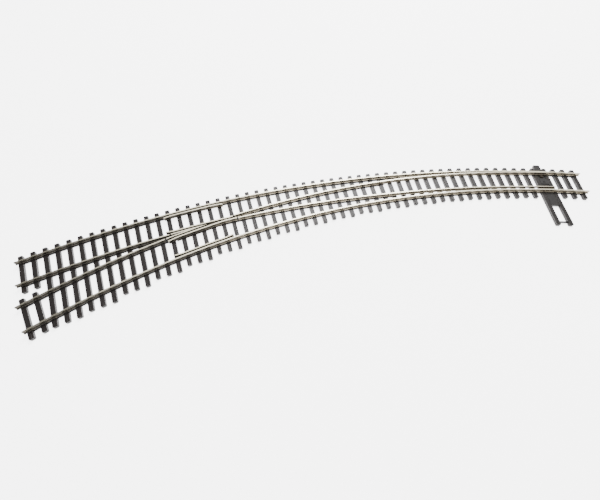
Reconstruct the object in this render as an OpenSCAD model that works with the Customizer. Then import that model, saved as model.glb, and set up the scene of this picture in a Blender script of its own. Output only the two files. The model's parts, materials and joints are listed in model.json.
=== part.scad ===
// Curved turnout switch for 16.5 mm gauge model railway track, set for the inner route.
// The origin is under the middle of the toe tie, on the outer route's centreline.
// +X points out of the toe end, +Y to the outside of the curve, and +Z up.

/* [Track] */
// Gauge between the running faces of the rail heads
gauge = 16.5; // [16.4:0.1:16.8]
// Centreline radius of the outer route
outer_r = 671; // [600:1:760]
// Arc length from the toe tie to the frog's theoretical point
frog_s = 264; // [255:1:275]
// How far outside the toe tie the inner route leaves the outer one
lead_in = 12.6; // [8:0.1:16]
// Width of the flangeways at the frog and the guard rails
flangeway = 1.1; // [1:0.05:1.3]

/* [Rail] */
// Height of the rail section
rail_h = 2.1; // [2:0.05:2.2]
// Width of the rail head
head_w = 0.9; // [0.8:0.05:0.95]
// Width of the rail foot
foot_w = 1.9; // [1.7:0.05:1.95]
// Thickness of the rail web
web_t = 0.56; // [0.4:0.02:0.6]
// How far the rail ends stand out past the last tie's centre
rail_overhang = 2.8; // [2:0.1:3.5]

/* [Ties] */
// Height of a tie
tie_h = 1.9; // [1.8:0.05:2.2]
// Width of a tie
tie_w = 2.85; // [2.5:0.05:3]
// Length of a plain track tie
tie_len = 28.5; // [28:0.5:30]
// Length of the longest ties, under both routes at the heel
heel_tie_len = 58.8; // [57:0.2:60]
// Spacing of the ties along the outer route
tie_pitch = 6.81; // [6.6:0.01:7]
// Spacing of the two headblock ties
headblock_pitch = 8.3; // [8:0.1:8.6]
// Reach of the headblock ties to the inside of the curve
headblock_reach = 39; // [36:0.5:42]
// Lean of the ties at the heel end, away from square
heel_skew = 2.1; // [0:0.1:3]
// Width and height of the stringers that join the ties under the rails
stringer = [1.6, 1.0];

/* [Points] */
// Movement of the throwbar
throw = 2; // [1.8:0.1:2.6]
// Arc length from the toe tie to the tips of the point blades
tip_s = 19.5; // [19:0.1:21]
// Arc length from the toe tie to the heel of the far blade
far_heel_s = 144.3; // [143:0.1:146]
// Arc length from the toe tie to the heel of the near blade
near_heel_s = 141.6; // [140:0.1:143]
// Gap between a closed blade and its stock rail
blade_gap = 0.08; // [0.06:0.01:0.12]
// Extra thickness of the blades' planed tips
tip_relief = 0.27; // [0.2:0.01:0.35]

/* [Throwbar] */
// Width of the throwbar
bar_w = 5.2; // [4.6:0.1:5.2]
// Far and near ends of the throwbar across the track
bar_ends = [17.8, -21.9];
// Radius of the drive hole in the throwbar
drive_hole_r = 0.75; // [0.6:0.05:1]

/* [Hidden] */
$fn = 48;
arc_fn = 720;
radian = 180 / PI;
// Ties are numbered from the heel end, with the headblock pair near the toe
tie_count = 57;
headblock = [53, 54];
split_ties = 2;
headblock_extra = 0.75;
bar_s = (tie_count - 53.5) * tie_pitch + headblock_extra / 2;
// Lateral place of a rail's middle from its route's centreline
rail_off = (gauge + head_w) / 2;
// The inner route's radius makes the gauge faces cross at the frog's theoretical point
curve_gain = 2 * gauge / pow(frog_s + lead_in, 2);
inner_r = 1 / (1 / outer_r + curve_gain);
lead_angle = -lead_in / outer_r * radian;
function spread(s) = curve_gain * pow(s + lead_in, 2) / 2;
// Arc lengths of the rails' ends and joints
toe_s = -rail_overhang;
heel_s = 384.4;
inner_heel_end_s = 379;
frog_toe_s = 248.6;
frog_heel_s = 293;
joint_gap = 1;
wing_past_frog = 3;
guard_off = rail_off - head_w - flangeway;
knuckle_s = sqrt(2 * (rail_off + guard_off) / curve_gain) - lead_in;
vee_s = frog_s + 3.5;
far_guard_s = [256.7, 295.8];
near_guard_s = [253.5, 291.5];
flare_len = 5;
flare_angle = 6.5;
// The near wing's end turns off slightly before its arc ends
flare_set_in = 0.4;
// The blades' hinges: a tab under the blade turns on a rivet in the heel plate
hinge_back = 1.7;
blade_end_gap = 0.4;
far_pivot_s = far_heel_s - hinge_back;
near_pivot_s = near_heel_s - hinge_back;
near_swing = throw / lever(outer_at(near_pivot_s, -rail_off)) * radian;
far_relief = tip_relief / (far_pivot_s - tip_s) * radian;
near_relief = tip_relief / (near_pivot_s - tip_s) * radian;
tab_t = 0.4;
tab_w = 2.4;
leaf_w = 2.6;
rivet_r = 0.45;
hinge_fit = 0.06;
// The drive pins join the blades' tabs to the throwbar
pin_r = 0.55;
pin_in = 2;
pin_z = 0.35;
pin_slot = 0.35;
tab_reach = [1.2, 1.5];
far_pin_off = rail_off - spread(bar_s) - tip_relief - pin_in;
near_pin_off = -rail_off + tip_relief + throw + pin_in;
bar_z = [0.25, 1.75];
bar_hole_off = 0.2;
tongue_start = 13.5;
play = 0.1;
plate_t = 0.12;
wire = 0.7;
jumper_ties = [31, 30];

// ---- Places along the two routes ----

function outer_at(s, off) = [-(outer_r + off) * sin(s / outer_r * radian),
    (outer_r + off) * cos(s / outer_r * radian) - outer_r];

function inner_at(s, off) =
    let (turn = lead_angle + (s + lead_in) / inner_r * radian, shift = outer_r - inner_r)
    [-shift * sin(lead_angle) - (inner_r + off) * sin(turn),
        shift * cos(lead_angle) - outer_r + (inner_r + off) * cos(turn)];

// A hinge's distance from the throwbar, measured square to the throwbar's travel
function lever(pivot) = (outer_at(bar_s, 0) - pivot)
    * [cos(bar_s / outer_r * radian), sin(bar_s / outer_r * radian)];

module on_outer(s, off = 0) {
    translate([0, -outer_r, 0]) rotate([0, 0, s / outer_r * radian])
        translate([0, outer_r + off, 0]) children();
}

module inner_centre() {
    translate([0, -outer_r, 0]) rotate([0, 0, lead_angle])
        translate([0, outer_r - inner_r, 0]) children();
}

module on_inner(s, off = 0) {
    inner_centre() rotate([0, 0, (s + lead_in) / inner_r * radian])
        translate([0, inner_r + off, 0]) children();
}

// A section swept along a route between two arc lengths
module sweep_outer(off, s0, s1) {
    translate([0, -outer_r, 0]) rotate([0, 0, 90 + s0 / outer_r * radian])
        rotate_extrude(angle = (s1 - s0) / outer_r * radian, $fn = arc_fn)
            translate([outer_r + off, 0]) children();
}

module sweep_inner(off, s0, s1) {
    inner_centre() rotate([0, 0, 90 + (s0 + lead_in) / inner_r * radian])
        rotate_extrude(angle = (s1 - s0) / inner_r * radian, $fn = arc_fn)
            translate([inner_r + off, 0]) children();
}

// ---- Rail sections, standing on the ties ----

foot_edge = 0.22;
foot_rise = 0.5;
head_z = rail_h - 0.6;
head_chamfer = 0.13;

module rail_section() {
    half = [[foot_w / 2, 0], [foot_w / 2, foot_edge], [web_t / 2, foot_rise],
        [web_t / 2, head_z - 0.1], [head_w / 2, head_z + 0.05],
        [head_w / 2, rail_h - head_chamfer], [head_w / 2 - head_chamfer, rail_h]];
    count = len(half);
    translate([0, tie_h]) polygon(concat(half,
        [for (i = [count - 1:-1:0]) [-half[i][0], half[i][1]]]));
}

// A blade keeps a thick web on its running side, which is the -1 or +1 side
module blade_section(side) {
    edge = side * head_w / 2;
    translate([0, tie_h]) polygon([[side * foot_w / 2, 0], [side * foot_w / 2, 0.25],
        [edge + side * 0.1, 0.85], [edge, rail_h - head_chamfer], [edge - side * head_chamfer, rail_h],
        [side * head_chamfer - edge, rail_h], [-edge, rail_h - head_chamfer],
        [-edge, head_z], [-side * web_t / 2, head_z - 0.1], [-side * web_t / 2, foot_rise],
        [-side * foot_w / 2, foot_edge], [-side * foot_w / 2, 0]]);
}

// The space that a stock rail needs, from which a blade is planed away
module stock_envelope(side) {
    foot = foot_w / 2 + blade_gap;
    head = head_w / 2 + blade_gap;
    translate([0, tie_h]) polygon([[-side * 3, -0.5], [side * foot, -0.5],
        [side * foot, 0.55], [side * head, 0.55],
        [side * head, rail_h + 0.5], [-side * 3, rail_h + 0.5]]);
}

// A straight end of rail that turns off by an angle
module flare(length, angle) {
    lap = 0.4;
    rotate([0, 0, angle]) translate([-lap, 0, 0]) rotate([90, 0, 90])
        linear_extrude(length + lap) rail_section();
}

// ---- Ties ----

function tie_s(k) = (tie_count - k) * tie_pitch
    + (k < headblock[0] ? headblock_extra : 0)
    + (k == headblock[0] ? headblock_extra / 2 + (headblock_pitch - tie_pitch) / 2 : 0)
    + (k == headblock[1] ? headblock_extra / 2 - (headblock_pitch - tie_pitch) / 2 : 0);

function tie_skew(k) = heel_skew * max(0, tie_s(k) - 105) / 263;

// Ties come in threes of one length, set near the one nearest the heel
function tie_length(k) = k > 52 ? tie_len
    : min(heel_tie_len, tie_len + spread(tie_s(3 * floor(k / 3)) + 5));

module on_tie(k) {
    on_outer(tie_s(k), tie_len / 2) rotate([0, 0, tie_skew(k)]) children();
}

module tie(length) {
    c = 0.45;
    w = tie_w / 2;
    linear_extrude(tie_h) polygon([[-w + c, 0], [w - c, 0], [w, -c], [w, c - length],
        [w - c, -length], [c - w, -length], [-w, c - length], [-w, -c]]);
}

module stringer_section() {
    translate([-stringer[0] / 2, 0]) square(stringer);
}

module tie_grid() {
    for (k = [3:tie_count])
        if (k < headblock[0] || k > headblock[1]) on_tie(k) tie(tie_length(k));
    for (k = headblock) on_tie(k) tie(tie_len / 2 + headblock_reach);
    for (k = [1:split_ties]) {
        on_tie(k) tie(tie_len);
        on_inner(inner_heel_end_s - 3 - (k - 1) * tie_pitch, tie_len / 2)
            rotate([0, 0, -1]) tie(tie_len);
    }
    sweep_outer(rail_off, -0.5, tie_s(1)) stringer_section();
    sweep_outer(-rail_off, near_heel_s, tie_s(1)) stringer_section();
    sweep_inner(rail_off, far_heel_s, inner_heel_end_s - 3) stringer_section();
    sweep_inner(-rail_off, -0.5, inner_heel_end_s - 3) stringer_section();
    // Web that ties the ends of the headblock pair together
    on_outer(bar_s) translate([-headblock_pitch / 2, 2.6 - headblock_reach, 0])
        cube([headblock_pitch, 0.9, 1.3]);
}

module heel_pocket() {
    translate([-6.2, -leaf_w / 2 - play, 1]) cube([10.3, leaf_w + 2 * play, tie_h]);
    translate([0, 0, 0.65]) cylinder(r = 1.1, h = tie_h);
}

module wire_groove(from, to) {
    g = wire + 2 * play;
    translate([-g / 2, to - g / 2, -1]) cube([g, from - to + g, 2]);
    for (y = [from, to]) translate([-g / 2, y - g / 2, -1]) cube([g, g, tie_h + 2]);
}

module tie_base() {
    color([0.16, 0.14, 0.13]) difference() {
        tie_grid();
        slot = headblock_pitch - tie_w;
        on_outer(bar_s) translate([-slot / 2, 3.5 - headblock_reach, -1])
            cube([slot, headblock_reach + 30, tie_h + 2]);
        on_outer(bar_s) for (side = [1, -1]) slide_plates(side, play);
        on_inner(far_pivot_s, rail_off) heel_pocket();
        on_outer(near_pivot_s, -rail_off) heel_pocket();
        frog_plate_solid(play);
        on_tie(jumper_ties[0]) wire_groove(far_wire[0], far_wire[1]);
        on_tie(jumper_ties[1]) wire_groove(near_wire[0], near_wire[1]);
    }
}

// ---- Fixed rails ----

rail_colour = [0.82, 0.77, 0.66];

module far_stock_rail() {
    color(rail_colour) sweep_outer(rail_off, toe_s, heel_s) rail_section();
}

module near_stock_rail() {
    color(rail_colour) sweep_inner(-rail_off, toe_s, inner_heel_end_s) rail_section();
}

module far_closure_rail() {
    color(rail_colour) sweep_inner(rail_off, far_heel_s + blade_end_gap, frog_toe_s)
        rail_section();
}

module near_closure_rail() {
    color(rail_colour) sweep_outer(-rail_off, near_heel_s + blade_end_gap, frog_toe_s)
        rail_section();
}

module outer_heel_rail() {
    color(rail_colour) sweep_outer(-rail_off, frog_heel_s + joint_gap, heel_s) rail_section();
}

module inner_heel_rail() {
    color(rail_colour) sweep_inner(rail_off, frog_heel_s + joint_gap, inner_heel_end_s)
        rail_section();
}

// ---- Frog ----

far_wing_end_s = frog_heel_s + wing_past_frog - flare_len;
near_wing_end_s = frog_heel_s - flare_len;
// The wing rails' leads run straight from their knuckles to the joints at the frog's toe
far_lead = norm(outer_at(knuckle_s, -guard_off) - inner_at(frog_toe_s + joint_gap, rail_off));
near_lead = norm(inner_at(knuckle_s, guard_off) - outer_at(frog_toe_s + joint_gap, -rail_off));
frog_angle = (1 / inner_r - 1 / outer_r) * (knuckle_s + lead_in) * radian;

module far_wing_rail() {
    color(rail_colour) {
        sweep_outer(-guard_off, knuckle_s, far_wing_end_s) rail_section();
        on_outer(knuckle_s, -guard_off) flare(far_lead, frog_angle);
        on_outer(far_wing_end_s, -guard_off) flare(flare_len, 180 - flare_angle);
    }
}

module near_wing_rail() {
    color(rail_colour) {
        sweep_inner(guard_off, knuckle_s, near_wing_end_s) rail_section();
        on_inner(knuckle_s, guard_off) flare(near_lead, -frog_angle);
        on_inner(near_wing_end_s - flare_set_in, guard_off) flare(flare_len, 180 + flare_angle);
    }
}

// The point rail, on the outer route, is planed to a blunt tip
module frog_point() {
    color(rail_colour) difference() {
        sweep_outer(-rail_off, vee_s, frog_heel_s) rail_section();
        sweep_inner(gauge / 2 - 4, vee_s - 9, frog_heel_s + 9) square([4.05, 9]);
    }
}

// The splice rail, on the inner route, is planed to lie against the point rail
module frog_splice_rail() {
    splice_s = sqrt(2 * (gauge + head_w + 0.25) / curve_gain) - lead_in;
    color(rail_colour) difference() {
        sweep_inner(rail_off, splice_s, frog_heel_s) blade_section(-1);
        sweep_outer(-rail_off, vee_s - 9, frog_heel_s + 9) stock_envelope(-1);
    }
}

module frog_plate_solid(grow = 0) {
    half = 16 + grow;
    on_outer(frog_s + 10) translate([0, 0, tie_h - tab_t - grow])
        linear_extrude(tab_t + grow * 20) polygon([[half, grow - 5.6], [half, -10.2 - grow],
            [-half, -14.2 - grow], [-half, grow - 5.6]]);
}

module frog_plate() {
    color([0.66, 0.6, 0.5]) frog_plate_solid();
}

module toe_insulators() {
    color([0.1, 0.09, 0.09]) {
        sweep_outer(-rail_off, frog_toe_s + 0.03, frog_toe_s + joint_gap - 0.03)
            rail_section();
        sweep_inner(rail_off, frog_toe_s + 0.03, frog_toe_s + joint_gap - 0.03)
            rail_section();
    }
}

module heel_insulators() {
    color([0.1, 0.09, 0.09]) {
        sweep_outer(-rail_off, frog_heel_s + 0.03, frog_heel_s + joint_gap - 0.03)
            rail_section();
        sweep_inner(rail_off, frog_heel_s + 0.03, frog_heel_s + joint_gap - 0.03)
            rail_section();
    }
}

// ---- Guard rails ----

module far_guard_rail() {
    s0 = far_guard_s[0] + flare_len;
    s1 = far_guard_s[1] - flare_len;
    color(rail_colour) {
        sweep_outer(guard_off, s0, s1) rail_section();
        on_outer(s0, guard_off) flare(flare_len, -flare_angle);
        on_outer(s1, guard_off) flare(flare_len, 180 + flare_angle);
    }
}

module near_guard_rail() {
    s0 = near_guard_s[0] + flare_len;
    s1 = near_guard_s[1] - flare_len;
    color(rail_colour) {
        sweep_inner(-guard_off, s0, s1) rail_section();
        on_inner(s0, -guard_off) flare(flare_len, flare_angle);
        on_inner(s1, -guard_off) flare(flare_len, 180 - flare_angle);
    }
}

// Blocks between the webs of a guard rail and its stock rail
module guard_block() {
    w = rail_off - guard_off - web_t - 0.04;
    translate([-1.2, -w / 2, tie_h + foot_rise + 0.05]) cube([2.4, w, 0.75]);
}

block_off = (rail_off + guard_off) / 2;

module far_guard_blocks() {
    mid = (far_guard_s[0] + far_guard_s[1]) / 2;
    color([0.12, 0.11, 0.1]) for (i = [-1:1]) on_outer(mid + 11 * i, block_off) guard_block();
}

module near_guard_blocks() {
    mid = (near_guard_s[0] + near_guard_s[1]) / 2;
    color([0.12, 0.11, 0.1]) for (i = [-1:1]) on_inner(mid + 11 * i, -block_off) guard_block();
}

// ---- Point blades ----

// Turns its children about a vertical axis at a place on a route
module turn_on_inner(s, off, angle) {
    on_inner(s, off) rotate([0, 0, angle]) undo_inner(s, off) children();
}

module undo_inner(s, off) {
    translate([0, -inner_r - off, 0]) rotate([0, 0, -(s + lead_in) / inner_r * radian])
        translate([0, inner_r - outer_r, 0]) rotate([0, 0, -lead_angle])
            translate([0, outer_r, 0]) children();
}

module turn_on_outer(s, off, angle) {
    on_outer(s, off) rotate([0, 0, angle]) translate([0, -outer_r - off, 0])
        rotate([0, 0, -s / outer_r * radian]) translate([0, outer_r, 0]) children();
}

// The far blade lies closed against the far stock rail
module far_point_blade() {
    color(rail_colour) difference() {
        turn_on_inner(far_pivot_s, rail_off, -far_relief)
            sweep_inner(rail_off, tip_s, far_heel_s) blade_section(-1);
        sweep_outer(rail_off, tip_s - 9, tip_s + 90) stock_envelope(-1);
    }
}

// The near blade is planed to fit its stock rail, then stands open by the throw
module near_rest() {
    turn_on_outer(near_pivot_s, -rail_off, near_swing) children();
}

module near_point_blade() {
    color(rail_colour) near_rest() difference() {
        turn_on_outer(near_pivot_s, -rail_off, near_relief)
            sweep_outer(-rail_off, tip_s, near_heel_s) blade_section(1);
        sweep_inner(-rail_off, tip_s - 9, tip_s + 90) stock_envelope(1);
    }
}

// ---- Hinges at the blades' heels ----

module hinge_tab() {
    difference() {
        translate([-1.3, -foot_w / 2, tie_h - tab_t]) cube([5.3, foot_w, tab_t]);
        cylinder(r = rivet_r + hinge_fit, h = 9);
    }
}

module hinge_rivet() {
    translate([0, 0, 0.75]) cylinder(r = 0.9, h = 0.3);
    translate([0, 0, 1]) cylinder(r = rivet_r, h = tie_h - 1.05);
}

module heel_plate() {
    step = -hinge_back - blade_end_gap;
    difference() {
        union() {
            translate([-6, -leaf_w / 2, 1.05]) cube([8.2, leaf_w, tab_t]);
            translate([-6, -leaf_w / 2, 1.05]) cube([6 + step, leaf_w, tie_h - 1.05]);
        }
        cylinder(r = rivet_r + 0.01, h = 9);
    }
}

sheet_colour = [0.72, 0.66, 0.52];

module far_hinge_tab() {
    color(sheet_colour) on_inner(far_pivot_s, rail_off) hinge_tab();
}

module near_hinge_tab() {
    color(sheet_colour) near_rest() on_outer(near_pivot_s, -rail_off) hinge_tab();
}

module far_hinge_rivet() {
    color(sheet_colour) on_inner(far_pivot_s, rail_off) hinge_rivet();
}

module near_hinge_rivet() {
    color(sheet_colour) on_outer(near_pivot_s, -rail_off) hinge_rivet();
}

module far_heel_plate() {
    color(sheet_colour) on_inner(far_pivot_s, rail_off) heel_plate();
}

module near_heel_plate() {
    color(sheet_colour) on_outer(near_pivot_s, -rail_off) heel_plate();
}

// ---- Throwbar and its drive ----

// A tab reaches from under the blade's foot to its pin; side is the blade's side
module drive_tab(pin_off, side) {
    translate([0, pin_off, 0]) difference() {
        translate([-tab_w / 2, side > 0 ? -tab_reach[0] : -tab_reach[1], tie_h - tab_t])
            cube([tab_w, tab_reach[0] + tab_reach[1], tab_t]);
        cylinder(r = pin_r + 0.01, h = 9);
    }
}

module drive_pin(pin_off) {
    translate([0, pin_off, pin_z]) cylinder(r = pin_r, h = tie_h - pin_z + 0.05);
    translate([0, pin_off, tie_h]) cylinder(r = 0.85, h = 0.2);
}

module far_drive_tab() {
    color(sheet_colour) on_outer(bar_s) drive_tab(far_pin_off, 1);
}

module near_drive_tab() {
    color(sheet_colour) on_outer(bar_s) drive_tab(near_pin_off, -1);
}

module far_drive_pin() {
    color(sheet_colour) on_outer(bar_s) drive_pin(far_pin_off);
}

module near_drive_pin() {
    color(sheet_colour) on_outer(bar_s) drive_pin(near_pin_off);
}

// The bar's far end is a tongue with round corners
module throwbar_outline() {
    corner = 0.9;
    half = bar_w / 2 - 0.25;
    translate([-bar_w / 2, bar_ends[1]]) square([bar_w, tongue_start - bar_ends[1]]);
    translate([-half, 0]) square([2 * half, bar_ends[0] - corner]);
    translate([corner - half, 0]) square([2 * (half - corner), bar_ends[0]]);
    for (x = [corner - half, half - corner]) translate([x, bar_ends[0] - corner]) circle(corner);
}

module throwbar() {
    color([0.2, 0.19, 0.19]) on_outer(bar_s) difference() {
        translate([0, 0, bar_z[0]]) linear_extrude(bar_z[1] - bar_z[0]) throwbar_outline();
        translate([0, bar_hole_off, 0]) cylinder(r = drive_hole_r, h = 9);
        for (off = [far_pin_off, near_pin_off]) {
            for (x = [-pin_slot, pin_slot]) translate([x, off, 0])
                cylinder(r = pin_r + play, h = 9);
            translate([-pin_slot, off - pin_r - play, -1])
                cube([2 * pin_slot, 2 * (pin_r + play), 9]);
            translate([-bar_w, off - 2.9, tie_h - tab_t - play]) cube([2 * bar_w, 5.8, 2]);
        }
    }
}

// Thin plates on the headblock ties that the blades slide on
module slide_plates(side, grow = 0) {
    for (end = [-1, 1])
        translate([end * headblock_pitch / 2 - 1.1 - grow, side > 0 ? 3.9 - grow : -8 - grow,
            tie_h - plate_t - 0.03 - grow / 4])
            cube([2.2 + 2 * grow, 4.1 + 2 * grow, plate_t + 10 * grow]);
}

module far_slide_plates() {
    color([0.6, 0.56, 0.5]) on_outer(bar_s) slide_plates(1);
}

module near_slide_plates() {
    color([0.6, 0.56, 0.5]) on_outer(bar_s) slide_plates(-1);
}

// ---- Jumper wires in grooves under two ties ----

function wire_ends(k, off_a, off_b) = [off_a - tie_len / 2, off_b - tie_len / 2];
far_wire = wire_ends(jumper_ties[0], rail_off, rail_off - spread(tie_s(jumper_ties[0])));
near_wire = wire_ends(jumper_ties[1], -rail_off, -rail_off - spread(tie_s(jumper_ties[1])));

module jumper(ends) {
    translate([-wire / 2, ends[1] - wire / 2, 0.15])
        cube([wire, ends[0] - ends[1] + wire, wire]);
    for (y = ends) translate([-wire / 2, y - wire / 2, 0.15]) cube([wire, wire, tie_h - 0.15]);
}

module far_jumper() {
    color([0.7, 0.45, 0.3]) on_tie(jumper_ties[0]) jumper(far_wire);
}

module near_jumper() {
    color([0.7, 0.45, 0.3]) on_tie(jumper_ties[1]) jumper(near_wire);
}

tie_base();
far_stock_rail();
near_stock_rail();
far_closure_rail();
near_closure_rail();
far_wing_rail();
near_wing_rail();
frog_point();
frog_splice_rail();
frog_plate();
outer_heel_rail();
inner_heel_rail();
far_guard_rail();
near_guard_rail();
far_guard_blocks();
near_guard_blocks();
toe_insulators();
heel_insulators();
far_point_blade();
near_point_blade();
far_hinge_tab();
near_hinge_tab();
far_hinge_rivet();
near_hinge_rivet();
far_heel_plate();
near_heel_plate();
far_drive_tab();
near_drive_tab();
far_drive_pin();
near_drive_pin();
throwbar();
far_slide_plates();
near_slide_plates();
far_jumper();
near_jumper();
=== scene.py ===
"""Looks of the curved turnout: moulded ties with spikes, rail with grime and painted shade, and dark
fittings partly painted as shade.
"""

import json
import math
import random

import bmesh
import bpy
from mathutils import Matrix, Vector


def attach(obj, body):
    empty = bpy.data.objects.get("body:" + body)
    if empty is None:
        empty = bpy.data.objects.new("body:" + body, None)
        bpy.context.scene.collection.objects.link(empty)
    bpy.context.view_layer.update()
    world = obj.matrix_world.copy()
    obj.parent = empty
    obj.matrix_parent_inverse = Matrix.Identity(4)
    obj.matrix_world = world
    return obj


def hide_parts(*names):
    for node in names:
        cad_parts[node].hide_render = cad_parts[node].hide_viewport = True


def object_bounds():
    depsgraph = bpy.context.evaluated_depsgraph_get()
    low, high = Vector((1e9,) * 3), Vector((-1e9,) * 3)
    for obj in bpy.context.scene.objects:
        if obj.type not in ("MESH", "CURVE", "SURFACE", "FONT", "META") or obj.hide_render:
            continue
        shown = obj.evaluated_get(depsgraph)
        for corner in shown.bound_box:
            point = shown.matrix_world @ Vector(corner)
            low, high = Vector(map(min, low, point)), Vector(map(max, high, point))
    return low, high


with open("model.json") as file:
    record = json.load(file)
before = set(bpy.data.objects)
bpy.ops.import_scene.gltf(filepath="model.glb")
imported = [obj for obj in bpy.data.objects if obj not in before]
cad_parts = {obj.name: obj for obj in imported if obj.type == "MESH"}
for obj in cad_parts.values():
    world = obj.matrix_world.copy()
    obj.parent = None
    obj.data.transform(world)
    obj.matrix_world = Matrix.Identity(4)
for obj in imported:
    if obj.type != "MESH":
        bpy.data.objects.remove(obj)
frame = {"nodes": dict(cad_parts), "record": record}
cad_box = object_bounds()

MM = 0.001

# ---- Sizes of the track, the same as in the CAD model, in metres ----

GAUGE = 16.5 * MM
HEAD_W = 0.9 * MM
FOOT_W = 1.9 * MM
RAIL_OFF = (GAUGE + HEAD_W) / 2
GUARD_OFF = RAIL_OFF - HEAD_W - 1.1 * MM
OUTER_R = 671 * MM
FROG_S = 264 * MM
LEAD_IN = 12.6 * MM
CURVE_GAIN = 2 * GAUGE / (FROG_S + LEAD_IN) ** 2
INNER_R = 1 / (1 / OUTER_R + CURVE_GAIN)
LEAD_ANGLE = -LEAD_IN / OUTER_R

TIE_COUNT = 57
TIE_H = 1.9 * MM
TIE_W = 2.85 * MM
TIE_LEN = 28.5 * MM
HEEL_TIE_LEN = 58.8 * MM
TIE_PITCH = 6.81 * MM
TIE_CORNER = 0.45 * MM
HEADBLOCK = (53, 54)
HEADBLOCK_PITCH = 8.3 * MM
HEADBLOCK_EXTRA = 0.75 * MM
HEADBLOCK_REACH = 39 * MM
HEEL_SKEW = math.radians(2.1)
SKEW_START_S = 105 * MM
SKEW_LENGTH = 263 * MM
SPLIT_TIES = 2
SPLIT_TIE_SKEW = math.radians(-1)
HINGE_TIES = (36, 37)
# The ties that the jumper wires cross under, each with its side of the track
JUMPER_TIES = ((31, 1), (30, -1))
# How far across the track the slide plates begin and end
SLIDE_PLATE = (3.9 * MM, 8 * MM)
BAR_S = (TIE_COUNT - sum(HEADBLOCK) / 2) * TIE_PITCH + HEADBLOCK_EXTRA / 2

TOE_S = -2.8 * MM
HEEL_S = 384.4 * MM
INNER_HEEL_S = 379 * MM
INNER_LAST_TIE_S = INNER_HEEL_S - 3 * MM
TIP_S = 19.5 * MM
FAR_HEEL_S = 144.3 * MM
NEAR_HEEL_S = 141.6 * MM
FAR_WING_END_S = 296 * MM
NEAR_WING_END_S = 293 * MM
VEE_S = FROG_S + 3.5 * MM
HINGE_BACK = 1.7 * MM
FAR_GUARD_S = (256.7 * MM, 295.8 * MM)
NEAR_GUARD_S = (253.5 * MM, 291.5 * MM)
KNUCKLE_S = math.sqrt(2 * (RAIL_OFF + GUARD_OFF) / CURVE_GAIN) - LEAD_IN


# ---- Places along the two routes ----

def spread(s):
    """How far the inner route has moved away from the outer one."""
    return CURVE_GAIN * (s + LEAD_IN) ** 2 / 2


class Route:
    """An arc of track, with places on it given by arc length and offset to the outside."""

    def __init__(self, centre, radius, turn_at_zero):
        self.centre, self.radius, self.zero = Vector(centre), radius, turn_at_zero

    def turn(self, s):
        return s / self.radius + self.zero

    def at(self, s, off=0.0):
        a, r = self.turn(s), self.radius + off
        return self.centre + Vector((-r * math.sin(a), r * math.cos(a)))

    def place(self, s, off=0.0, z=0.0):
        """Matrix whose +X runs back towards the toe and whose +Y points out of the curve."""
        return Matrix.Translation((*self.at(s, off), z)) @ Matrix.Rotation(self.turn(s), 4, "Z")

    def find(self, point):
        """Arc length and offset of a point."""
        d = point - self.centre
        return (math.atan2(-d.x, d.y) - self.zero) * self.radius, d.length - self.radius


OUTER = Route((0, -OUTER_R), OUTER_R, 0.0)
INNER = Route((-(OUTER_R - INNER_R) * math.sin(LEAD_ANGLE),
               -OUTER_R + (OUTER_R - INNER_R) * math.cos(LEAD_ANGLE)),
              INNER_R, LEAD_ANGLE + LEAD_IN / INNER_R)


def tie_s(k):
    s = (TIE_COUNT - k) * TIE_PITCH
    shift = (HEADBLOCK_PITCH - TIE_PITCH) / 2
    if k < HEADBLOCK[0]:
        return s + HEADBLOCK_EXTRA
    if k in HEADBLOCK:
        return s + HEADBLOCK_EXTRA / 2 + (shift if k == HEADBLOCK[0] else -shift)
    return s


def tie_length(k):
    if k in HEADBLOCK:
        return TIE_LEN / 2 + HEADBLOCK_REACH
    if k > HEADBLOCK[0] or k <= SPLIT_TIES:
        return TIE_LEN
    return min(HEEL_TIE_LEN, TIE_LEN + spread(tie_s(3 * (k // 3)) + 5 * MM))


def tie_place(k):
    """Matrix at a tie's far end, with -Y along the tie; the headblock's two are parallel."""
    if k in HEADBLOCK:
        side = 0.5 if k == HEADBLOCK[1] else -0.5
        return OUTER.place(BAR_S) @ Matrix.Translation((side * HEADBLOCK_PITCH, TIE_LEN / 2, 0))
    skew = HEEL_SKEW * max(0.0, tie_s(k) - SKEW_START_S) / SKEW_LENGTH
    return OUTER.place(tie_s(k), TIE_LEN / 2) @ Matrix.Rotation(skew, 4, "Z")


def near_tie_place(k):
    """Matrix at the far end of one of the inner route's own short ties."""
    s = INNER_LAST_TIE_S - (k - 1) * TIE_PITCH
    return INNER.place(s, TIE_LEN / 2) @ Matrix.Rotation(SPLIT_TIE_SKEW, 4, "Z")


# ---- Mesh helpers ----

def new_piece(name, bm, material):
    """A piece on the fixed base, made from a bmesh."""
    mesh = bpy.data.meshes.new(name)
    bm.to_mesh(mesh)
    bm.free()
    piece = bpy.data.objects.new(name, mesh)
    bpy.context.scene.collection.objects.link(piece)
    mesh.materials.append(material)
    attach(piece, "base")
    return piece


def add_rings(bm, rings):
    """Skins a row of rings of points, and caps both ends."""
    made = [[bm.verts.new(p) for p in ring] for ring in rings]
    count = len(rings[0])
    for a, b in zip(made, made[1:]):
        for i in range(count):
            j = (i + 1) % count
            bm.faces.new((a[i], a[j], b[j], b[i]))
    bm.faces.new(list(reversed(made[0])))
    bm.faces.new(made[-1])


def add_block(bm, place, size, bevel, z0=0.0):
    """A box centred on place in X and Y, standing on z0, with bevelled top edges."""
    x, y, z = size[0] / 2, size[1] / 2, size[2]
    rings = []
    for shrink, height in ((0, 0), (0, z - bevel), (bevel, z)):
        rings.append([place @ Vector((sx * (x - shrink), sy * (y - shrink), z0 + height))
                      for sx, sy in ((-1, -1), (1, -1), (1, 1), (-1, 1))])
    add_rings(bm, rings)


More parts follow.
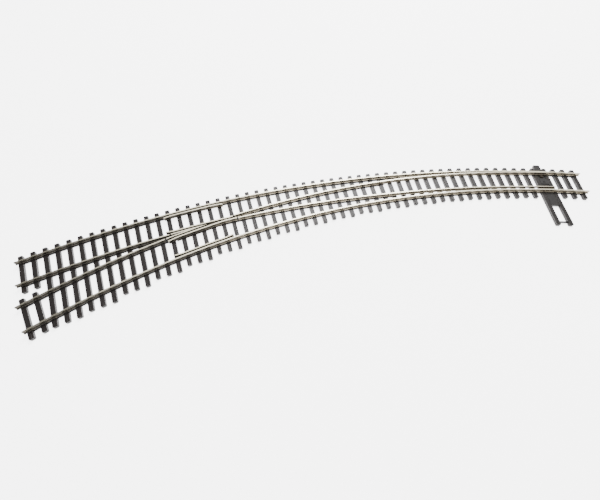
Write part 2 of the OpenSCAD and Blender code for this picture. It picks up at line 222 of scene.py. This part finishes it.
def smooth_noise(seed):
    """A repeatable smooth function of one number, from -1 to 1."""
    rng = random.Random(seed)
    waves = [(rng.uniform(90, 900), rng.uniform(0, math.tau), rng.uniform(0.3, 1)) for _ in range(4)]
    total = sum(w[2] for w in waves)
    return lambda x: sum(a * math.sin(f * x + p) for f, p, a in waves) / total


# ---- Ties ----

GRAIN_COLUMNS = 9
GRAIN_DEPTH = 0.07 * MM
EDGE = 0.14 * MM
END_ROUND = 0.1 * MM
SIDE_WOBBLE = 0.035 * MM
CHECK_DEPTH = 0.1 * MM
PLATE_RECESS = 0.13 * MM


def tie_section(x_half, top, dip):
    """One ring of a tie: bottom, bevelled sides and the grained top, in X and Z."""
    points = [(-x_half + EDGE / 2, 0), (x_half - EDGE / 2, 0), (x_half, EDGE / 2)]
    points.append((x_half, top - EDGE))
    for i in range(GRAIN_COLUMNS):
        x = (x_half - EDGE * 0.9) * (1 - 2 * i / (GRAIN_COLUMNS - 1))
        points.append((x, top - dip(i)))
    points += [(-x_half, top - EDGE), (-x_half, EDGE / 2)]
    return points


def recess_at(y, recesses):
    return PLATE_RECESS if any(a <= y <= b for a, b in recesses) else 0.0


def add_tie(bm, place, length, seed, recesses=()):
    """A moulded tie with wood grain, checks at its ends and chamfered corners."""
    rng = random.Random(seed)
    grain = [smooth_noise(seed * 31 + i) for i in range(GRAIN_COLUMNS)]
    base_dip = [rng.uniform(0.15, 0.85) for _ in range(GRAIN_COLUMNS)]
    checks = [(rng.randrange(1, GRAIN_COLUMNS - 1), rng.uniform(2.2, 5) * MM) for _ in range(2)]
    side = smooth_noise(seed * 31 + 97)
    step = 1.1 * MM
    count = max(4, round((length - 2 * TIE_CORNER) / step))
    stations = [0.0, END_ROUND, TIE_CORNER]
    stations += [TIE_CORNER + (length - 2 * TIE_CORNER) * i / count for i in range(1, count)]
    stations += [length - TIE_CORNER, length - END_ROUND, length]
    for a, b in recesses:
        stations += [a - 0.01 * MM, a, b, b + 0.01 * MM]
    rings = []
    for d in sorted(set(stations)):
        end = min(d, length - d)
        narrow = max(0.0, TIE_CORNER - end)
        lower = max(0.0, END_ROUND - end)
        half = TIE_W / 2 - narrow - lower - SIDE_WOBBLE * (1 + side(d)) / 2

        def dip(i):
            check = checks[0] if d < length / 2 else checks[1]
            split = CHECK_DEPTH * max(0, 1 - end / check[1]) if i == check[0] else 0
            return GRAIN_DEPTH * (base_dip[i] * 0.6 + 0.2 * (1 + grain[i](d))) + split + 0.01 * MM

        top = TIE_H - lower - recess_at(d, recesses)
        rings.append([place @ Vector((x, -d, z)) for x, z in tie_section(half, top, dip)])
    add_rings(bm, rings)


def add_sweep(bm, route, off, s0, s1, width, height):
    """A bar swept along a route, with softened top edges."""
    count = max(2, round(abs(s1 - s0) / (5 * MM)))
    w, e = width / 2, 0.15 * MM
    section = [(-w, 0), (w, 0), (w, height - e), (w - e, height), (e - w, height), (-w, height - e)]
    rings = []
    for i in range(count + 1):
        place = route.place(s0 + (s1 - s0) * i / count, off)
        rings.append([place @ Vector((0, y, z)) for y, z in section])
    add_rings(bm, rings)


def bar_slot_break():
    """Arc lengths between which the throwbar's slot cuts through the stringers."""
    half = HEADBLOCK_PITCH / 2
    return BAR_S - half, BAR_S + half


def make_stringers(bm):
    width, height = 1.6 * MM, 1.0 * MM
    toe_side, heel_side = bar_slot_break()
    last = tie_s(1)
    for route, off, end in ((OUTER, RAIL_OFF, last), (INNER, -RAIL_OFF, INNER_LAST_TIE_S)):
        add_sweep(bm, route, off, -0.5 * MM, toe_side, width, height)
        add_sweep(bm, route, off, heel_side, end, width, height)
    add_sweep(bm, OUTER, -RAIL_OFF, NEAR_HEEL_S, last, width, height)
    add_sweep(bm, INNER, RAIL_OFF, FAR_HEEL_S, INNER_LAST_TIE_S, width, height)


def cut_boxes(bm, boxes):
    """Takes boxes, each a place and its two corners, out of a closed mesh."""
    scratch = bpy.data.objects.new("scratch", bpy.data.meshes.new("scratch"))
    bm.to_mesh(scratch.data)
    bm.free()
    bpy.context.scene.collection.objects.link(scratch)
    cutters = bmesh.new()
    for place, low, high in boxes:
        size = high - low
        middle = place @ Matrix.Translation((*((low + high) / 2).xy, low.z))
        add_block(cutters, middle, size, size.z * 0.001)
    cutter = bpy.data.objects.new("cutter", bpy.data.meshes.new("cutter"))
    cutters.to_mesh(cutter.data)
    cutters.free()
    bpy.context.scene.collection.objects.link(cutter)
    boolean = scratch.modifiers.new("cut", "BOOLEAN")
    boolean.object = cutter
    boolean.solver = "EXACT"
    boolean.use_self = True
    result = bmesh.new()
    result.from_object(scratch, bpy.context.evaluated_depsgraph_get())
    bpy.data.objects.remove(scratch)
    bpy.data.objects.remove(cutter)
    return result


def heel_pockets():
    """The pockets under the blades' heels, where the hinges sit in the ties."""
    low, high = Vector((-6.2, -1.4, 1)) * MM, Vector((4.1, 1.4, 3)) * MM
    rivet_low, rivet_high = Vector((-1, -1, 0.65)) * MM, Vector((1, 1, 1.5)) * MM
    boxes = []
    for route, s, off in ((INNER, FAR_HEEL_S, RAIL_OFF), (OUTER, NEAR_HEEL_S, -RAIL_OFF)):
        place = route.place(s - HINGE_BACK, off)
        boxes += [(place, low, high), (place, rivet_low, rivet_high)]
    return boxes


def wire_grooves():
    """Grooves under two ties for the jumper wires."""
    boxes = []
    half = 0.45 * MM
    for k, side in JUMPER_TIES:
        start = side * RAIL_OFF - TIE_LEN / 2
        end = start - spread(tie_s(k))
        low, high = Vector((-half, end - half, -MM)), Vector((half, start + half, MM))
        boxes.append((tie_place(k), low, high))
    return boxes


def make_ties():
    """The whole tie strip as one mesh: ties, stringers and the headblock's web."""
    whole = bmesh.new()
    cut_ties = {k: heel_pockets() for k in HINGE_TIES}
    for box, (k, _) in zip(wire_grooves(), JUMPER_TIES):
        cut_ties[k] = [box]
    start, end = SLIDE_PLATE
    middle = TIE_LEN / 2
    plates = [(middle - end, middle - start), (middle + start, middle + end)]
    for k in range(1, TIE_COUNT + 1):
        recesses = plates if k in HEADBLOCK else ()
        if k not in cut_ties:
            add_tie(whole, tie_place(k), tie_length(k), k, recesses)
            continue
        single = bmesh.new()
        add_tie(single, tie_place(k), tie_length(k), k)
        part = cut_boxes(single, cut_ties[k])
        mesh = bpy.data.meshes.new("part")
        part.to_mesh(mesh)
        part.free()
        whole.from_mesh(mesh)
        bpy.data.meshes.remove(mesh)
    for k in range(1, SPLIT_TIES + 1):
        add_tie(whole, near_tie_place(k), TIE_LEN, 100 + k)
    make_stringers(whole)
    web_inset, web_width, web_height = 3.05 * MM, 0.9 * MM, 1.3 * MM
    web = OUTER.place(BAR_S) @ Matrix.Translation((0, web_inset - HEADBLOCK_REACH, 0))
    add_block(whole, web, (HEADBLOCK_PITCH, web_width, web_height), 0.12 * MM)
    return whole


# ---- Spikes and tie plates at every crossing of a rail and a tie ----

# Each line of rail: its route, offset, and the arc lengths between which it lies
RAIL_LINES = [
    (OUTER, RAIL_OFF, TOE_S, HEEL_S),
    (INNER, -RAIL_OFF, TOE_S, INNER_HEEL_S),
    (OUTER, -RAIL_OFF, NEAR_HEEL_S, KNUCKLE_S),
    (INNER, RAIL_OFF, FAR_HEEL_S, KNUCKLE_S),
    (OUTER, -RAIL_OFF, VEE_S, HEEL_S),
    (INNER, RAIL_OFF, VEE_S + 6 * MM, INNER_HEEL_S),
    (OUTER, -GUARD_OFF, KNUCKLE_S, FAR_WING_END_S),
    (INNER, GUARD_OFF, KNUCKLE_S, NEAR_WING_END_S),
    (OUTER, GUARD_OFF, *FAR_GUARD_S),
    (INNER, -GUARD_OFF, *NEAR_GUARD_S),
]
SPIKE_REACH = 0.38 * MM
BLADE_MARGIN = 3 * MM
HINGE_ALONG, HINGE_ACROSS = 6 * MM, 2 * MM


def crossing(place, length, route, off):
    """Arc length at which a tie's middle line meets a line of rail, or None."""
    y = 0.0
    for _ in range(6):
        point = (place @ Vector((0, y, 0))).xy
        y += off - route.find(point)[1]
    if not -length + MM < y < -MM:
        return None
    return route.find((place @ Vector((0, y, 0))).xy)[0]


def is_free(point, own_line):
    """True where a spike at this point touches no other rail and no blade's path."""
    for line in RAIL_LINES:
        if line is own_line:
            continue
        route, off, s0, s1 = line
        s, found = route.find(point)
        if s0 - MM < s < s1 + MM and abs(found - off) < FOOT_W / 2 + SPIKE_REACH:
            return False
    s, off = OUTER.find(point)
    inner_off = INNER.find(point)[1]
    between_rails = off < RAIL_OFF and inner_off > -RAIL_OFF
    in_blades = between_rails and TIP_S - BLADE_MARGIN < s < FAR_HEEL_S + BLADE_MARGIN
    under_blade = abs(inner_off - RAIL_OFF) < HINGE_ACROSS or abs(off + RAIL_OFF) < HINGE_ACROSS
    on_hinge = under_blade and abs(s - FAR_HEEL_S) < HINGE_ALONG
    return not (in_blades or on_hinge)


def all_ties():
    """Every tie's place and length."""
    found = [(tie_place(k), tie_length(k)) for k in range(1, TIE_COUNT + 1)]
    found += [(near_tie_place(k), TIE_LEN) for k in range(1, SPLIT_TIES + 1)]
    return found


def fastenings():
    """Where each rail fastening stands: its place, and the side of the rail it is on."""
    for place, length in all_ties():
        for line in RAIL_LINES:
            route, off, s0, s1 = line
            s = crossing(place, length, route, off)
            if s is None or not s0 - MM < s < s1:
                continue
            for side in (-1, 1):
                point = route.at(s, off + side * (FOOT_W / 2 + SPIKE_REACH))
                if is_free(point, line):
                    yield route.place(s, off, TIE_H), side


def add_plate(bm, place, side):
    """One shoulder of a tie plate, beside the rail's foot."""
    width = 0.75 * MM
    y = side * (FOOT_W / 2 + width / 2 - 0.04 * MM)
    centre = place @ Matrix.Translation((0, y, -0.1 * MM))
    add_block(bm, centre, (2.1 * MM, width, 0.24 * MM), 0.06 * MM)


def add_spike(bm, place, x, side):
    """A spike's head: a rounded hook that laps over the edge of the rail's foot."""
    half, y0 = 0.3 * MM, FOOT_W / 2
    profile = [(-0.28, 0.3), (-0.24, 0.5), (-0.02, 0.66), (0.26, 0.6), (0.4, 0.36), (0.42, 0.0),
               (0.08, 0.0), (0.04, 0.24)]
    rings = []
    for dx, shrink in ((-half, 0.75), (-half * 0.6, 1), (half * 0.6, 1), (half, 0.75)):
        rings.append([place @ Vector((x + dx, side * (y0 + y * MM * shrink), z * MM * shrink))
                      for y, z in profile])
    add_rings(bm, rings)


def make_fastenings():
    """Tie plates, and two spike heads on each of them."""
    plates, spikes = bmesh.new(), bmesh.new()
    rng = random.Random(7)
    for place, side in fastenings():
        add_plate(plates, place, side)
        for x in (-0.55 * MM, 0.55 * MM):
            jitter = rng.uniform(-0.04, 0.04) * MM
            add_spike(spikes, place, x + jitter, side)
    return plates, spikes


# ---- Materials ----

class Nodes:
    """A material's node tree, with short calls to add nodes to it."""

    def __init__(self, name):
        self.material = bpy.data.materials.new(name)
        self.material.use_nodes = True
        self.tree = self.material.node_tree
        self.shader = self.tree.nodes["Principled BSDF"]

    def add(self, kind, inputs=(), **values):
        node = self.tree.nodes.new(kind)
        for key, value in values.items():
            setattr(node, key, value)
        for key, value in dict(inputs).items():
            self.put(node.inputs[key], value)
        return node

    def put(self, socket, value):
        if isinstance(value, bpy.types.NodeSocket):
            self.tree.links.new(value, socket)
        else:
            socket.default_value = value

    def math(self, operation, a, b=0.0, c=0.0, clamp=False):
        return self.add("ShaderNodeMath", {0: a, 1: b, 2: c}, operation=operation,
                        use_clamp=clamp).outputs[0]

    def ramp(self, value, low, high, to_low=0.0, to_high=1.0):
        return self.add("ShaderNodeMapRange", {"Value": value, "From Min": low, "From Max": high,
                        "To Min": to_low, "To Max": to_high}).outputs[0]

    def noise(self, vector, scale, detail=4.0, rough=0.55):
        return self.add("ShaderNodeTexNoise", {"Vector": vector, "Scale": scale, "Detail": detail,
                        "Roughness": rough}).outputs["Fac"]

    def mix(self, factor, a, b):
        node = self.add("ShaderNodeMix", data_type="RGBA")
        self.put(node.inputs["Factor"], factor)
        self.put(node.inputs[6], a)
        self.put(node.inputs[7], b)
        return node.outputs[2]

    def position(self):
        return self.add("ShaderNodeTexCoord").outputs["Object"]

    def parts(self, vector):
        return self.add("ShaderNodeSeparateXYZ", {0: vector}).outputs

    def track_position(self, across, along):
        """Position in millimetres across and along the curve, each stretched by a factor."""
        x, y, z = self.parts(self.position())
        dy = self.math("ADD", y, OUTER_R)
        radius = self.math("SQRT", self.math("ADD", self.math("MULTIPLY", x, x),
                                             self.math("MULTIPLY", dy, dy)))
        angle = self.math("ARCTAN2", x, dy)
        return self.add("ShaderNodeCombineXYZ", {
            0: self.math("MULTIPLY", radius, across / MM),
            1: self.math("MULTIPLY", angle, along * OUTER_R / MM),
            2: self.math("MULTIPLY", z, 1 / MM)}).outputs[0]

    def arc_length(self):
        """Distance along the curve from the toe tie, in metres."""
        x, y, _ = self.parts(self.position())
        angle = self.math("ARCTAN2", self.math("MULTIPLY", x, -1.0), self.math("ADD", y, OUTER_R))
        return self.math("MULTIPLY", angle, OUTER_R)

    def bump(self, height, strength, distance):
        node = self.add("ShaderNodeBump", {"Height": height, "Strength": strength,
                        "Distance": distance})
        self.put(self.shader.inputs["Normal"], node.outputs[0])

    def set(self, **inputs):
        for key, value in inputs.items():
            self.put(self.shader.inputs[key.replace("_", " ")], value)
        return self.material


def plastic(name, dark, light, roughness, grain_scale=1.0):
    """Moulded tie plastic with wood grain along the ties."""
    n = Nodes(name)
    grain = n.noise(n.track_position(0.16 * grain_scale, 2.6 * grain_scale), 1.6, 6.0, 0.65)
    blotch = n.noise(n.track_position(0.05, 0.05), 1.0, 3.0)
    fine = n.noise(n.track_position(3, 3), 1.5, 3.0)
    tone = n.math("ADD", n.math("MULTIPLY", grain, 0.65), n.math("MULTIPLY", blotch, 0.35))
    colour = n.mix(n.ramp(tone, 0.36, 0.64), dark, light)
    rough = n.ramp(fine, 0.3, 0.7, roughness - 0.09, roughness + 0.12)
    height = n.math("ADD", grain, n.math("MULTIPLY", fine, 0.25))
    n.bump(height, 0.6, 0.06 * MM)
    return n.set(Base_Color=colour, Roughness=rough, Specular_IOR_Level=0.3)


# Heights on a rail and stretches of the track over which its colour changes
HEAD_TOP = (TIE_H + 1.9 * MM, TIE_H + 2 * MM)
WEB_FOOT = (TIE_H + 0.3 * MM, TIE_H + 0.55 * MM)
WEB_HEAD = (TIE_H + 1.5 * MM, TIE_H + 1.25 * MM)
# Painted shade: from this stretch on, from the frog to the heel end, the rail sides are darkened
# toward black.
SIDE_SHADE_S = (215 * MM, 275 * MM)
# Painted shade: over this stretch the rail heads darken toward the heel end, standing in for their
# dimmer reflection there.
HEAD_SHADE_S = (285 * MM, 360 * MM)


def shade(colour, factor):
    return [c * factor for c in colour[:3]] + [1]


def rail_metal(name, top, side, grime_and_shade_colour):
    """Nickel silver rail: bright heads, grime and a painted shadow under the head on the sides, and
    painted shade darkening heads and sides toward the heel end.
    """
    n = Nodes(name)
    streaks = n.noise(n.track_position(9, 0.12), 1.0, 5.0, 0.7)
    grime = n.noise(n.track_position(1.6, 0.7), 1.0, 7.0, 0.7)
    blotch = n.noise(n.track_position(0.05, 0.03), 1.0, 3.0)
    # Painted shade: how far the heads have darkened toward the heel end.
    head_shade = n.ramp(n.arc_length(), *HEAD_SHADE_S)
    # Painted shade on the rail sides from the frog to the heel end.
    side_shade = n.ramp(n.arc_length(), *SIDE_SHADE_S)
    height = n.parts(n.position())[2]
    up = n.parts(n.add("ShaderNodeNewGeometry").outputs["Normal"])[2]
    on_top = n.math("MULTIPLY", n.ramp(up, 0.35, 0.85), n.ramp(height, *HEAD_TOP))
    # Painted shadow under the rail head: the web between foot and head is mixed strongly toward the
    # dark colour, varied by the grime noise; elsewhere only a thin film of real grime.
    web = n.math("MULTIPLY", n.ramp(height, *WEB_FOOT), n.ramp(height, *WEB_HEAD))
    grime_and_shade = n.math("MULTIPLY", n.math("ADD", n.math("MULTIPLY", web, 0.85), 0.15),
                  n.ramp(grime, 0.34, 0.66, 0.6, 1.0))
    # Painted shade on the sides toward the heel end, varied a little by the grime noise.
    grime_and_shade = n.math("MAXIMUM", grime_and_shade, n.math("MULTIPLY", side_shade, n.ramp(grime, 0.3, 0.7, 0.8, 1.0)))
    bright = n.mix(n.ramp(streaks, 0.3, 0.72), shade(top, 0.84), top)
    # Painted shade: the heads darken to near black toward the heel end.
    bright = n.mix(n.math("MULTIPLY", head_shade, 0.95), bright, shade(top, 0.13))
    # Painted shade: the dark side colour itself darkens further toward the heel end.
    grime_and_shade_colour = n.mix(side_shade, grime_and_shade_colour, shade(grime_and_shade_colour, 0.3))
    # Head tops take the bright colour and the sides the darker one: partly the polish of wear on the
    # head, partly painted shade on the sides.
    dull = n.mix(n.ramp(blotch, 0.3, 0.7), shade(side, 0.8), side)
    colour = n.mix(on_top, n.mix(grime_and_shade, dull, grime_and_shade_colour), bright)
    rough = n.math("ADD", n.ramp(on_top, 0, 1, 0.42, 0.27), n.ramp(streaks, 0.3, 0.7, -0.05, 0.1))
    n.bump(n.math("ADD", streaks, n.math("MULTIPLY", grime, 0.6)), 0.35, 0.02 * MM)
    metal = n.math("MULTIPLY", n.ramp(grime_and_shade, 0, 1, 0.92, 0.45), n.ramp(on_top, 0, 1, 1.0, 0.55))
    return n.set(Base_Color=colour, Roughness=rough, Metallic=metal)


def sheet_metal(name, bright, dull, roughness):
    """Stamped sheet or turned metal with fine scratches and dull patches."""
    n = Nodes(name)
    scratches = n.noise(n.track_position(6, 0.6), 1.2, 5.0, 0.7)
    patches = n.noise(n.track_position(0.7, 0.7), 1.0, 4.0)
    colour = n.mix(n.ramp(patches, 0.38, 0.64), dull, bright)
    rough = n.math("ADD", n.ramp(patches, 0.3, 0.7, roughness + 0.14, roughness),
                   n.ramp(scratches, 0.3, 0.7, -0.05, 0.08))
    n.bump(scratches, 0.3, 0.02 * MM)
    return n.set(Base_Color=colour, Roughness=rough, Metallic=0.9)


def floor_paint():
    """Plain pale paper with a faint tooth, which glows a little so that it renders near white."""
    n = Nodes("pale_floor")
    tooth = n.noise(n.position(), 900.0, 3.0)
    wash = n.noise(n.position(), 4.0, 2.0)
    colour = n.mix(n.ramp(wash, 0.35, 0.65), (0.93, 0.93, 0.93, 1), (0.95, 0.95, 0.95, 1))
    n.bump(tooth, 0.05, 0.1 * MM)
    return n.set(Base_Color=colour, Roughness=0.8, Emission_Color=(1, 1, 1, 1),
                 Emission_Strength=4.0)


MATERIALS = {
    "tie_plastic": plastic("tie_plastic", (0.0035, 0.0026, 0.0023, 1),
                           (0.0115, 0.0086, 0.0078, 1), 0.44),
    "bar_plastic": plastic("bar_plastic", (0.0085, 0.0075, 0.0072, 1),
                           (0.019, 0.0175, 0.017, 1), 0.42, 0.4),
    "insulator_plastic": plastic("insulator_plastic", (0.01, 0.009, 0.009, 1),
                                 (0.02, 0.018, 0.018, 1), 0.45, 0.5),
    # The last colour is the rail sides' dark mix of grime and painted shade.
    "nickel_silver": rail_metal("nickel_silver", (0.97, 0.9, 0.7, 1), (0.5, 0.44, 0.33, 1),
                                (0.025, 0.018, 0.014, 1)),
    # The fittings' metals get near-black colours, far below bare brass or steel: partly grime, partly
    # painted shade standing for the dark gaps between the rails.
    "sheet_brass": sheet_metal("sheet_brass", (0.06, 0.048, 0.036, 1), (0.025, 0.02, 0.016, 1), 0.42),
    "rivet_metal": sheet_metal("rivet_metal", (0.11, 0.09, 0.07, 1), (0.05, 0.042, 0.035, 1), 0.34),
    "slide_plate_steel": sheet_metal("slide_plate_steel", (0.06, 0.055, 0.05, 1),
                                     (0.028, 0.025, 0.022, 1), 0.4),
    "jumper_copper": sheet_metal("jumper_copper", (0.62, 0.3, 0.16, 1),
                                 (0.3, 0.15, 0.09, 1), 0.32),
}


def dress_cad_nodes():
    """Gives every CAD node the material of its slot in the record."""
    for row in frame["record"]["subparts"]:
        node = frame["nodes"][row["node"]]
        node.data.materials.clear()
        node.data.materials.append(MATERIALS[row["material_slot"]])


# ---- Floor, light and camera ----

def make_floor():
    bm = bmesh.new()
    bmesh.ops.create_grid(bm, x_segments=4, y_segments=4, size=3)
    mesh = bpy.data.meshes.new("floor")
    bm.to_mesh(mesh)
    bm.free()
    floor = bpy.data.objects.new("floor", mesh)
    mesh.materials.append(floor_paint())
    bpy.context.scene.collection.objects.link(floor)


def add_area_light(name, location, target, size, power):
    light = bpy.data.lights.new(name, "AREA")
    light.size, light.energy = size, power
    lamp = bpy.data.objects.new(name, light)
    lamp.location = location
    lamp.rotation_euler = (Vector(target) - Vector(location)).to_track_quat("-Z", "Y").to_euler()
    bpy.context.scene.collection.objects.link(lamp)


def make_light(centre):
    world = bpy.data.worlds.new("studio")
    world.use_nodes = True
    background = world.node_tree.nodes["Background"]
    background.inputs["Color"].default_value = (1, 1, 1, 1)
    background.inputs["Strength"].default_value = 0.55
    bpy.context.scene.world = world
    add_area_light("panel", centre + Vector((0.1, 0.9, 0.95)), centre, size=0.8, power=40)
    add_area_light("overhead", centre + Vector((0.05, -0.1, 1.2)), centre, size=1.0, power=9)


def make_camera():
    """A wide lens close above the inside of the curve, looking down and outwards."""
    camera = bpy.data.cameras.new("camera")
    camera.sensor_width = 36
    camera.lens = 19.14
    place = (-0.18773, -0.18275, 0.17035)
    camera.clip_start, camera.clip_end = 0.01, 20
    turn, down, roll = 0.0835, 0.998, 0.0022
    holder = bpy.data.objects.new("camera", camera)
    holder.matrix_world = (Matrix.Translation(place)
                           @ Matrix.Rotation(turn, 4, "Z")
                           @ Matrix.Rotation(math.pi / 2 - down, 4, "X")
                           @ Matrix.Rotation(roll, 4, "Z"))
    bpy.context.scene.collection.objects.link(holder)
    bpy.context.scene.camera = holder


# ---- The scene ----

low, high = cad_box
make_camera()
make_floor()
make_light((low + high) / 2)
dress_cad_nodes()

tie_strip = new_piece("tie_strip", make_ties(), MATERIALS["tie_plastic"])
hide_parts("tie_base")
plate_mesh, spike_mesh = make_fastenings()
new_piece("tie_plates", plate_mesh, MATERIALS["tie_plastic"])
new_piece("spike_heads", spike_mesh, MATERIALS["tie_plastic"])
